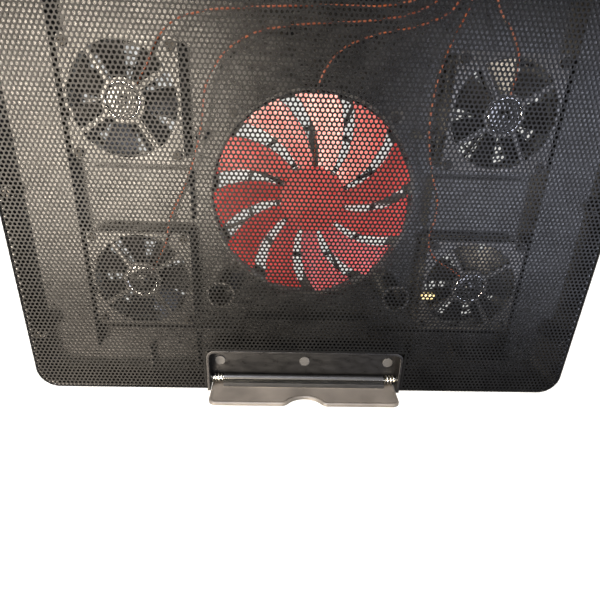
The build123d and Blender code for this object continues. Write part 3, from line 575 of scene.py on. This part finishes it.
bm = bmesh.new()
for side in (-1, 1):
    near, far = sorted((side * notch_half, side * (notch_half + margin)))
    strip(bm, near, far, -half_depth, notch_back, 60)
strip(bm, -notch_half - margin, notch_half + margin, notch_back, notch_back + margin, 40)
finish_sheet(bm, "panel_notch_margin")

# %% The hem
bm = bmesh.new()
hem_top = field_bottom + 0.5 * mm
start = [bm.verts.new((sheet_half.x, 0, z)) for z in (sheet_bottom, hem_top)]
bm.edges.new(start)
along = bmesh.ops.extrude_edge_only(bm, edges=bm.edges[:])["geom"]
bmesh.ops.translate(bm, verts=[g for g in along if isinstance(g, bmesh.types.BMVert)],
                    vec=(0, corner_middle.y, 0))
lead = [g for g in along if isinstance(g, bmesh.types.BMEdge)]
swept = bmesh.ops.spin(bm, geom=lead, cent=corner_middle, axis=(0, 0, 1), dvec=(0, 0, 0),
                       angle=pi / 2, steps=14)
last = [g for g in swept["geom_last"] if isinstance(g, bmesh.types.BMEdge)]
rest = bmesh.ops.extrude_edge_only(bm, edges=last)["geom"]
bmesh.ops.translate(bm, verts=[g for g in rest if isinstance(g, bmesh.types.BMVert)],
                    vec=(-corner_middle.x, 0, 0))
for axis in ("X", "Y"):
    bmesh.ops.mirror(bm, geom=bm.verts[:] + bm.edges[:] + bm.faces[:], axis=axis,
                     matrix=Matrix(), merge_dist=0.01 * mm)
bmesh.ops.remove_doubles(bm, verts=bm.verts, dist=0.01 * mm)
for side in (-1, 1):
    front_faces = [f for f in bm.faces if f.calc_center_median().y < sheet_low.y + mm]
    cut(bm, (side * notch_half, 0, 0), (1, 0, 0), front_faces)
gone = [f for f in bm.faces if f.calc_center_median().y < sheet_low.y + mm
        and abs(f.calc_center_median().x) < notch_half]
bmesh.ops.delete(bm, geom=gone, context="FACES")
bmesh.ops.recalc_face_normals(bm, faces=bm.faces)
hem_out = [f for f in bm.faces if f.normal.dot(f.calc_center_median() * Vector((1, 1, 0))) < 0]
bmesh.ops.reverse_faces(bm, faces=hem_out)
mesh = bpy.data.meshes.new("panel_hem")
bm.to_mesh(mesh)
bm.free()
hem = bpy.data.objects.new("panel_hem", mesh)
bpy.context.scene.collection.objects.link(hem)
mesh.materials.append(panel_paint)
thick = hem.modifiers.new("thickness", "SOLIDIFY")
thick.thickness = sheet_thickness
thick.offset = -1.0
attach(hem, "base")
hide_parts("mesh_panel")
print("hem made,", len(mesh.polygons), "faces before thickness")

# %% [markdown]
# ## Caps on the small fans
# Each small motor is closed by a glossy black cap with a bright ring round it. Both are turned
# shapes, so a short outline is spun once round the motor's axis: a small circle makes the ring, and
# a low curve makes the cap.

# %% Spin the rings and the caps
def new_piece(name, bm, finish, body, replaced):
    """Turns a bmesh into a piece that rides on a body and stands for a CAD node."""
    mesh = bpy.data.meshes.new(name)
    bm.to_mesh(mesh)
    bm.free()
    mesh.materials.append(finish)
    piece = bpy.data.objects.new(name, mesh)
    bpy.context.scene.collection.objects.link(piece)
    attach(piece, body)
    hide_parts(*replaced)


def turned(outline, axis_place, closed, steps=48):
    """A bmesh of an outline, in radius and height, spun once round a vertical axis."""
    bm = bmesh.new()
    points = [bm.verts.new((axis_place[0] + r, axis_place[1], z)) for r, z in outline]
    pairs = list(zip(points, points[1:])) + ([(points[-1], points[0])] if closed else [])
    edges = [bm.edges.new(pair) for pair in pairs]
    bmesh.ops.spin(bm, geom=points + edges, cent=(axis_place[0], axis_place[1], 0), axis=(0, 0, 1),
                   dvec=(0, 0, 0), angle=2 * pi, steps=steps, use_merge=True)
    bmesh.ops.remove_doubles(bm, verts=bm.verts, dist=0.005 * mm)
    bmesh.ops.recalc_face_normals(bm, faces=bm.faces)
    for f in bm.faces:
        f.smooth = True
    return bm


def joined(parts):
    """One bmesh of several."""
    whole = bmesh.new()
    for part in parts:
        holder = bpy.data.meshes.new("part")
        part.to_mesh(holder)
        part.free()
        whole.from_mesh(holder)
        bpy.data.meshes.remove(holder)
    return whole


cap_low, cap_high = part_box("small_fan_caps")
fans = ("front_left_fan", "front_right_fan", "rear_left_fan", "rear_right_fan")
fan_axes = [tuple(sum(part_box(name + "_shaft"), Vector()) / 2)[:2] for name in fans]
ring_radius, wire = 10.4 * mm, 0.6 * mm
ring_outline = [(ring_radius + wire * cos(i * pi / 5), cap_low.z + wire + wire * sin(i * pi / 5))
                for i in range(10)]
cap_outline = [(0, 0.0), (9.7, 0.0), (9.9, 0.15), (9.7, 0.32), (9.0, 0.36), (4.0, 0.50), (3.0, 0.42),
               (2.6, 0.78), (1.4, 0.82), (0, 0.84)]
cap_outline = [(r * mm, cap_low.z + z * mm) for r, z in cap_outline]
new_piece("fan_cap_rings", joined([turned(ring_outline, a, True) for a in fan_axes]), chrome,
          "base", ["small_fan_caps"])
cap_gloss = moulded("glossy black cap", "#0B0B0B", "#1A1918", 0.10, 1.2 * mm, 0.004 * mm, 1.56, 0.05)
new_piece("fan_caps", joined([turned(cap_outline, a, False) for a in fan_axes]), cap_gloss,
          "base", ["small_fan_caps"])
print(len(fan_axes), "caps and rings")
